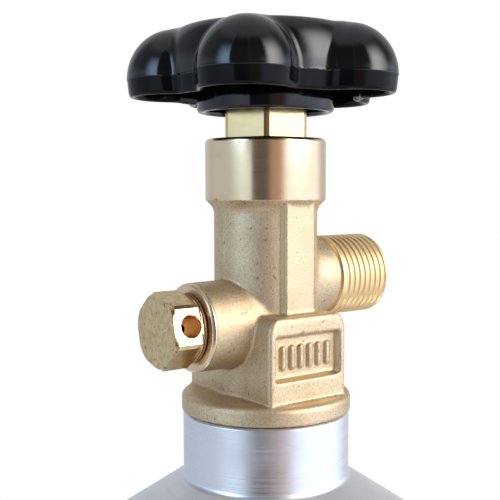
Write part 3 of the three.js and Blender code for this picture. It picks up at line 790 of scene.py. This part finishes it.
def bonnet_hex():
    """Hexagonal nut with a chamfered top, its round shank and the spindle's bore."""
    angles = hex_angles(HEX_AF, HEX_R)
    hexagon = hex_radius(angles, HEX_AF, HEX_R)
    direction = angles + math.radians(HEX_CORNER + 30)
    # height, the circle the level is cut to, and how much its hexagon grows
    levels = [(SHANK_Z0, SHANK_R - 0.5, 0), (SHANK_Z0 + 0.5, SHANK_R, 0), (HEX_Z0, SHANK_R, 0)]
    levels += [(HEX_Z0, UNCUT, -0.12), (HEX_Z0 + 0.06, UNCUT, -0.03), (HEX_Z0 + 0.12, UNCUT, 0)]
    levels += [(z, UNCUT, 0) for z in np.linspace(HEX_Z0 + 1, HEX_Z1 - 1.6, 8)]
    levels += [(HEX_Z1 - HEX_CHAMFER + 0.12 * k, HEX_R - 0.17 * k, 0) for k in range(11)]
    rings = [(z, np.minimum(hexagon + grow, cap)) for z, cap, grow in levels]
    rings += [(z, np.full(len(angles), SPINDLE_BORE_R)) for z in (HEX_Z1, SHANK_Z0)]
    rows = [
        np.stack([radius * np.cos(direction), radius * np.sin(direction), np.full(len(angles), z)], 1)
        for z, radius in rings
    ]
    nut = skin("bonnet_hex", rows, ring=True, sharp=20)
    dress(nut, MATERIALS["hex_brass"], "cylinder", "turned_brass", "bonnet_nut")


# ------------------------------------------------------------------ handwheel
def wheel_field(r, angle, z, inset, top, blend):
    """Near-distance to the disc with an elliptical upper edge, joined to its ring of domed lobes."""
    drop = DISC_EDGE_DROP - inset
    u = (r - (DISC_R - inset - DISC_EDGE_IN)) / DISC_EDGE_IN
    v = (z - (top - drop)) / drop
    edge = (np.hypot(np.maximum(u, 0), np.maximum(v, 0)) - 1) * DISC_EDGE_IN
    disc = np.where(v > 0, np.where(u > 0, edge, z - top), r - (DISC_R - inset))
    pitch = 2 * math.pi / LOBES
    off = (angle - math.radians(LOBE_DEG) + pitch / 2) % pitch - pitch / 2
    away = np.hypot(r * np.cos(off) - LOBE_AT, r * np.sin(off))
    reach = LOBE_R - inset
    rise = np.maximum((z - PARTING_Z) / (top - PARTING_Z), 0)
    lobe = (np.hypot(away / reach, rise) - 1) * reach
    return smooth_min(disc, lobe, blend)


def wheel_ray(angles, start, tilt, inset, top, blend):
    """Where a ray from radius `start` on the parting plane, tilted up, leaves the wheel's form."""
    near, far = np.zeros_like(angles), np.full_like(angles, 45.0)
    for _ in range(40):
        middle = (near + far) / 2
        r = start + middle * math.cos(tilt)
        inside = wheel_field(r, angles, PARTING_Z + middle * math.sin(tilt), inset, top, blend) < 0
        near, far = np.where(inside, middle, near), np.where(inside, far, middle)
    return start + near * math.cos(tilt), PARTING_Z + near * math.sin(tilt)


def handwheel_shell():
    """Disc and lobes in one skin, as rows of points round the axis from the underside to the cap's seat."""
    around = 600
    angles = np.linspace(0, 2 * math.pi, around, endpoint=False)
    under_deck = WHEEL_TOP - DECK_T
    rows = []

    def row(radius, z):
        radius, z = np.broadcast_to(radius, angles.shape), np.broadcast_to(z, angles.shape)
        rows.append(np.stack([radius * np.cos(angles), radius * np.sin(angles), z], 1))

    # underside, from the ceiling beside the hub out to the skirt
    for tilt in np.radians(np.linspace(90, 0, 22)):
        row(*wheel_ray(angles, HUB_R + 1.5, tilt, SKIRT_T, under_deck, CREASE_INSIDE))
    outer = wheel_ray(angles, HUB_R, 0, 0, WHEEL_TOP, CREASE)[0]
    inner = wheel_ray(angles, HUB_R, 0, SKIRT_T, WHEEL_TOP, CREASE_INSIDE)[0]
    row(inner, SKIRT_Z + 1.6)
    # rounded rim of the skirt: height, and share of the way from the inner wall to the outer
    rim = ((0.8, 0.05), (0.3, 0.18), (0.06, 0.38), (0.0, 0.56), (0.08, 0.73), (0.35, 0.88), (0.9, 0.98))
    for lift, share in rim:
        row(inner * (1 - share) + (outer - 0.42) * share, SKIRT_Z + lift)
    # drafted wall, then a ragged witness line where the mould halves met
    for lift, out in ((1.8, -0.33), (2.8, -0.23), (3.8, -0.13), (4.05, -0.10)):
        row(outer + out, SKIRT_Z + lift)
    ragged = np.sin(angles * 61) * np.sin(angles * 23 + 1) * 0.5 + np.sin(angles * 137 + 2) * 0.3
    hollow = np.clip((DISC_R + 1.2 - outer) / 1.2, 0, 1)
    for lift, out in ((4.2, 0.02), (4.32, 0.05), (4.44, 0.02)):
        row(outer + out + (0.02 + 0.09 * hollow) * (0.4 + ragged) * (out > 0.03), SKIRT_Z + lift)
    for tilt in np.radians(np.linspace(1.5, 90, 58)):
        row(*wheel_ray(angles, HUB_R - 5, tilt, 0, WHEEL_TOP, CREASE))
    # deck, then the recess for the cap
    for r, drop in ((0.5, 0), (0.25, 0.04), (0.07, 0.2), (0, 0.5)):
        row(RECESS_R + r, WHEEL_TOP - drop)
    row(RECESS_R, RECESS_Z)
    row(INSERT_R + GAP, RECESS_Z)
    row(INSERT_R + GAP, under_deck)
    shell = skin("handwheel_shell", rows, ring=True, sharp=40)
    mark_scuff_and_shade(shell)
    dress(shell, MATERIALS["black_plastic"], "wheel", "black_plastic", "handwheel")


def handwheel_hub():
    inner = INSERT_R + GAP
    top = WHEEL_TOP - DECK_T + 0.5
    outline = soften([
        (inner, HUB_CEILING + 4), (inner, HUB_CEILING), (HUB_RI, HUB_CEILING), (HUB_RI, HUB_Z0),
        (HUB_R, HUB_Z0), (HUB_R, top), (inner, top), (inner, HUB_CEILING + 4),
    ], 1.0, 6)
    hub = turned("handwheel_hub", outline[:-1], 192, ring=True, sharp=40)
    dress(hub, MATERIALS["black_plastic"], "wheel", "black_plastic", "handwheel")


def mark_scuff_and_shade(shell):
    """Marks the disc's scuffed wall between the lobes, and the skirt below the parting line, which gets
    painted shade.
    """
    scuff = shell.data.attributes.new("scuff", "FLOAT", "POINT")
    skirt = shell.data.attributes.new("skirt", "FLOAT", "POINT")
    pitch = 2 * math.pi / LOBES
    for vertex, mark, low in zip(shell.data.vertices, scuff.data, skirt.data):
        x, y, z = (value / MM for value in vertex.co)
        # the skirt mark, below the parting line, for painted shade
        low.value = float(z - NECK_TOP < PARTING_Z - 0.15)
        off = (math.atan2(y, x) - math.radians(LOBE_DEG) + pitch / 2) % pitch - pitch / 2
        r = math.hypot(x, y)
        clear = math.hypot(r * math.cos(off) - LOBE_AT, r * math.sin(off)) - LOBE_R
        wall = min(1.0, max(0.0, (r - DISC_R + 5) / 3))
        mark.value = min(1.0, max(0.0, (clear + 0.6) / 1.2)) * wall


def wheel_cap():
    r = RECESS_R - GAP
    wall = 1.2
    low, high = (corner.z / MM - NECK_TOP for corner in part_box("wheel_cap"))
    under = low + 1.3
    profile = soften([
        (ON_AXIS, under), (r - wall, under), (r - wall, low), (r, low), (r, high - 0.75),
        (r - 0.6, high - 0.3), (r * 0.78, high - 0.2), (r * 0.74, high - 0.42), (r * 0.68, high - 0.42),
        (r * 0.64, high - 0.14), (r * 0.3, high - 0.03), (ON_AXIS, high),
    ], 0.25, 4)
    cap = turned("handwheel_cap", profile, 128)
    dress(cap, MATERIALS["black_plastic"], "wheel", "black_plastic", "wheel_cap")


# ----------------------------------------------------------------- safety plug
def safety_plug():
    """Hexagonal plug with a round collar, an axial bore and a drilled cross hole."""
    plug = plug_blank()
    bore = [(PLUG_BORE_R, -VENT_X - 0.5), (PLUG_BORE_R, -BOSS_BOTTOM)]
    cut_with(plug, turned_x("bore_tool", bore, BOSS_Z, 48))
    tilt = math.radians(PLUG_TURN - 30)
    cut_with(plug, vent_tool(tilt))
    mark_hole_glow(plug, tilt)
    dress(plug, MATERIALS["plug_brass"], "cylinder", "turned_brass", "safety_plug")


def plug_blank():
    """The plug before it is drilled, from its nose out to its end face."""
    corner = PLUG_CORNER_R
    angles = hex_angles(PLUG_AF, corner, 8, 5)
    hexagon = hex_radius(angles, PLUG_AF, corner)
    direction = angles + math.radians(PLUG_TURN + 30)
    neck_r = BOSS_BORE - GAP
    collar_end = -PLUG_X0 + 0.2
    # position along X, and the circle the level is cut to
    levels = [(-BOSS_BOTTOM - 1.9, BOSS_BORE - 0.9), (-BOSS_BOTTOM - 2.5, neck_r)]
    levels += [(-BOSS_X - 1.0, neck_r), (-BOSS_X - 1.0, PLUG_COLLAR_R - 0.2)]
    levels += [(-BOSS_X - 1.2, PLUG_COLLAR_R), (-PLUG_X0 + 0.35, PLUG_COLLAR_R)]
    levels += [(collar_end, PLUG_COLLAR_R - 0.15), (collar_end, PLUG_COLLAR_R - 0.7)]
    levels += [(-PLUG_X0, PLUG_COLLAR_R - 0.7), (-PLUG_X0, corner - 0.8)]
    levels += [(-PLUG_X0 - 0.06 * k, corner - 0.8 + 0.16 * k) for k in range(1, 6)]
    levels += [(x, UNCUT) for x in np.linspace(-PLUG_X0 - 1, -PLUG_X1 + 0.3, 5)]
    chamfer = (PLUG_END - PLUG_X1) / 8
    levels += [(-PLUG_X1 - chamfer * k, corner - 0.085 * k) for k in range(9)]
    levels += [(-PLUG_END, 4.0), (-PLUG_END, ON_AXIS)]
    rows = []
    for x, cap in levels:
        radius = np.minimum(hexagon, cap)
        y, z = radius * np.cos(direction), BOSS_Z + radius * np.sin(direction)
        rows.append(np.stack([np.full(len(angles), x), y, z], 1))
    return skin("safety_plug_hex", rows, sharp=18)


def vent_tool(tilt):
    """Cutter for the cross hole, with a flared mouth each side and the faint turns the drill left."""
    around = np.linspace(0, 2 * math.pi, 64, endpoint=False)
    reach = PLUG_AF / 2
    marks = np.linspace(-reach + 0.3, reach - 0.3, 31)
    stations = [(-reach - 1, VENT_R + VENT_FLARE), (-reach + 0.25, VENT_R)]
    stations += [(t, VENT_R + DRILL_MARK * (k % 2)) for k, t in enumerate(marks)]
    stations += [(reach - 0.25, VENT_R), (reach + 1, VENT_R + VENT_FLARE)]
    rows = []
    for t, r in stations:
        x = -VENT_X + r * np.cos(around)
        v = r * np.sin(around)
        y = t * math.cos(tilt) - v * math.sin(tilt)
        z = BOSS_Z + t * math.sin(tilt) + v * math.cos(tilt)
        rows.append(np.stack([x, y, z], 1))
    return skin("vent_tool", rows)


def mark_hole_glow(plug, tilt):
    """Marks the faces that lie on the wall of the cross hole, which get a painted glow."""
    hole_glow = plug.data.attributes.new("hole_glow", "FLOAT", "FACE")
    for polygon, mark in zip(plug.data.polygons, hole_glow.data):
        corners = [plug.data.vertices[i].co / MM for i in polygon.vertices]
        across = [(c.z - NECK_TOP - BOSS_Z) * math.cos(tilt) - c.y * math.sin(tilt) for c in corners]
        radii = [math.hypot(c.x + VENT_X, a) for c, a in zip(corners, across)]
        mark.value = float(max(radii) < VENT_R + 0.1)


def plug_washer():
    x0, middle, x1 = -BOSS_X - 0.25, -BOSS_X - 0.4, -BOSS_X - 0.75
    outline = soften([
        (WASHER_RI, middle), (WASHER_RI, x0), (WASHER_R, x0), (WASHER_R, x1),
        (WASHER_RI, x1), (WASHER_RI, middle),
    ], 0.1, 2)
    washer = turned_x("plug_washer", outline[:-1], BOSS_Z, ring=True)
    dress(washer, MATERIALS["copper"], "cylinder", "copper", "safety_washer")


def carried_over_nodes():
    """CAD nodes that stay as they are and only need a finish."""
    finishes = {
        "neck_o_ring": "black_rubber", "upper_spindle": "turned_brass", "spindle_o_ring": "black_rubber",
        "spindle_backup_ring": "nylon", "thrust_washer": "nylon", "lower_plug": "turned_brass",
        "seat_disc": "nylon", "wheel_insert": "turned_brass", "wheel_washer": "steel", "wheel_nut": "steel",
        "burst_disc": "copper", "disc_gasket": "nylon",
    }
    for name, finish in finishes.items():
        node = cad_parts[name]
        node.data.materials.clear()
        node.data.materials.append(MATERIALS[finish])


# ------------------------------------------------------------- studio and camera
CAMERA_AZIMUTH = -37.8         # degrees, seen from the axis; 0 is the -Y side
CAMERA_DISTANCE = 218.35       # mm from the axis
CAMERA_HEIGHT = 55.8           # mm above the neck face
CAMERA_YAW = 1.03              # turned a little left, so the axis is right of centre
CAMERA_PITCH = 4.12            # looking down
CAMERA_ROLL = -0.16
FOCAL_SHARE = 1.7364           # focal length over frame width

SKY_BASE = (0.27, 0.28, 0.30)
FLOOR_R = 620
FLOOR_SIDES = 96


def camera():
    azimuth = math.radians(CAMERA_AZIMUTH)
    back = Vector((math.sin(azimuth), -math.cos(azimuth), 0))
    place = (back * CAMERA_DISTANCE + Vector((0, 0, NECK_TOP + CAMERA_HEIGHT))) * MM
    level = Matrix.Rotation(math.radians(CAMERA_YAW), 3, "Z") @ -back
    right = Vector((level.y, -level.x, 0))
    pitch = math.radians(CAMERA_PITCH)
    ahead = level * math.cos(pitch) - Vector((0, 0, math.sin(pitch)))
    above = right.cross(ahead)
    cos_roll, sin_roll = math.cos(math.radians(CAMERA_ROLL)), math.sin(math.radians(CAMERA_ROLL))
    right, above = right * cos_roll + above * sin_roll, above * cos_roll - right * sin_roll
    data = bpy.data.cameras.new("camera")
    data.sensor_width = 36.0
    data.lens = FOCAL_SHARE * data.sensor_width
    data.clip_start = 0.01
    obj = bpy.data.objects.new("camera", data)
    obj.matrix_world = Matrix((
        (right.x, above.x, -ahead.x, place.x), (right.y, above.y, -ahead.y, place.y),
        (right.z, above.z, -ahead.z, place.z), (0, 0, 0, 1)))
    bpy.context.scene.collection.objects.link(obj)
    bpy.context.scene.camera = obj


class Sky:
    """The studio round the object, as light by direction.

    Azimuth counts from the camera's side, positive to the right, and elevation from the horizon.
    Both are in degrees.
    """

    def __init__(self):
        world = bpy.data.worlds.new("studio")
        bpy.context.scene.world = world
        world.use_nodes = True
        self.tree = world.node_tree
        self.tree.nodes.clear()
        direction = self.node("ShaderNodeTexCoord").outputs["Generated"]
        parts = self.node("ShaderNodeSeparateXYZ")
        self.tree.links.new(direction, parts.inputs[0])
        heading = self.math("ARCTAN2", parts.outputs["Y"], parts.outputs["X"])
        front = math.radians(CAMERA_AZIMUTH - 90)
        turned_by = self.math("SUBTRACT", heading, front)
        self.azimuth = self.math("MULTIPLY", self.wrap(turned_by), math.degrees(1))
        self.elevation = self.math("MULTIPLY", self.math("ARCSINE", parts.outputs["Z"]), math.degrees(1))
        self.light = None

    def node(self, kind):
        return self.tree.nodes.new(kind)

    def math(self, operation, *values):
        made = self.node("ShaderNodeMath")
        made.operation = operation
        for socket, value in zip(made.inputs, values):
            if isinstance(value, (int, float)):
                socket.default_value = value
            else:
                self.tree.links.new(value, socket)
        return made.outputs[0]

    def wrap(self, value):
        return self.math("WRAP", value, math.pi, -math.pi)

    def ramp(self, value, start, end):
        made = self.node("ShaderNodeMapRange")
        made.interpolation_type = "SMOOTHSTEP"
        self.tree.links.new(value, made.inputs["Value"])
        made.inputs["From Min"].default_value = start
        made.inputs["From Max"].default_value = end
        return made.outputs["Result"]

    def window(self, left, right, low, high):
        """1 inside a panel of the studio and 0 outside. Each edge is a (start, end) pair in degrees."""
        rise = self.ramp(self.azimuth, *left)
        fall = self.ramp(self.azimuth, right[1], right[0])
        sill = self.ramp(self.elevation, *low)
        lintel = self.ramp(self.elevation, high[1], high[0])
        across, upward = self.math("MULTIPLY", rise, fall), self.math("MULTIPLY", sill, lintel)
        return self.math("MULTIPLY", across, upward)

    def mix(self, share, colour):
        """Lays a colour over the light so far, by share."""
        made = self.node("ShaderNodeMix")
        made.data_type = "RGBA"
        made.clamp_factor = True
        self.tree.links.new(share, made.inputs["Factor"])
        if self.light is None:
            made.inputs["A"].default_value = (*SKY_BASE, 1)
        else:
            self.tree.links.new(self.light, made.inputs["A"])
        made.inputs["B"].default_value = (*colour, 1)
        self.light = made.outputs["Result"]

    def finish(self):
        """The camera sees plain white behind the object; everything else sees the studio."""
        room, white = self.node("ShaderNodeBackground"), self.node("ShaderNodeBackground")
        mix = self.node("ShaderNodeMixShader")
        self.tree.links.new(self.light, room.inputs["Color"])
        white.inputs["Color"].default_value = (1, 1, 1, 1)
        self.tree.links.new(self.node("ShaderNodeLightPath").outputs["Is Camera Ray"], mix.inputs[0])
        self.tree.links.new(room.outputs[0], mix.inputs[1])
        self.tree.links.new(white.outputs[0], mix.inputs[2])
        self.tree.links.new(mix.outputs[0], self.node("ShaderNodeOutputWorld").inputs["Surface"])


def studio():
    sky = Sky()

    def lit(colour, left, right, low, high):
        sky.mix(sky.window(left, right, low, high), colour)

    sky.mix(sky.ramp(sky.elevation, -10, -50), (0.55, 0.50, 0.45))              # pale ground
    sky.mix(sky.ramp(sky.elevation, 46, 64), (0.62, 0.62, 0.64))                # lit ceiling
    lit((0.62, 0.62, 0.64), (112, 132), (181, 182), (-32, -16), (60, 70))     # back wall, right half
    lit((0.60, 0.62, 0.67), (-182, -181), (-136, -116), (-32, -16), (60, 70))  # back wall, left half
    lit((0.56, 0.63, 0.74), (-150, -110), (-30, -26), (-45, -20), (10, 22))   # foot of the left wall
    lit((0.88, 1.05, 1.25), (-72, -42), (-27, -24), (-35, -20), (3, 9))       # and its lit part
    lit((0.11, 0.10, 0.10), (-27, -24), (4, 10), (-50, -35), (10, 14))        # dark gap beside the camera
    lit((0.11, 0.10, 0.10), (-38, -34), (4, 10), (5, 10), (50, 70))           # and above it
    lit((0.50, 0.32, 0.26), (4, 16), (40, 50), (-50, -35), (8, 16))           # warm gap
    lit((0.13, 0.12, 0.12), (6, 12), (44, 50), (10, 18), (50, 70))
    lit((1.26, 1.38, 1.68), (26, 44), (110, 135), (-40, -26), (8, 24))        # bright wall
    lit((2.8, 4.1, 6.0), (-76, -46), (-38, -36), (2, 14), (20, 48))           # window
    lit((7.8, 7.6, 7.5), (42, 58), (62, 104), (1, 12), (24, 58))              # softbox
    sky.finish()
    settings = bpy.context.scene.view_settings
    settings.view_transform = "Standard"
    settings.look = "None"

    angles = np.linspace(0, 2 * math.pi, FLOOR_SIDES, endpoint=False)
    disc = [(FLOOR_R * math.cos(a), FLOOR_R * math.sin(a), -NECK_TOP) for a in angles]
    floor = mesh_object("floor", disc, [tuple(range(FLOOR_SIDES))])
    floor.data.materials.append(pale_floor())


gas_cylinder()
valve_body()
bonnet_seal()
bonnet_hex()
handwheel_shell()
handwheel_hub()
wheel_cap()
safety_plug()
plug_washer()
carried_over_nodes()
camera()
studio()
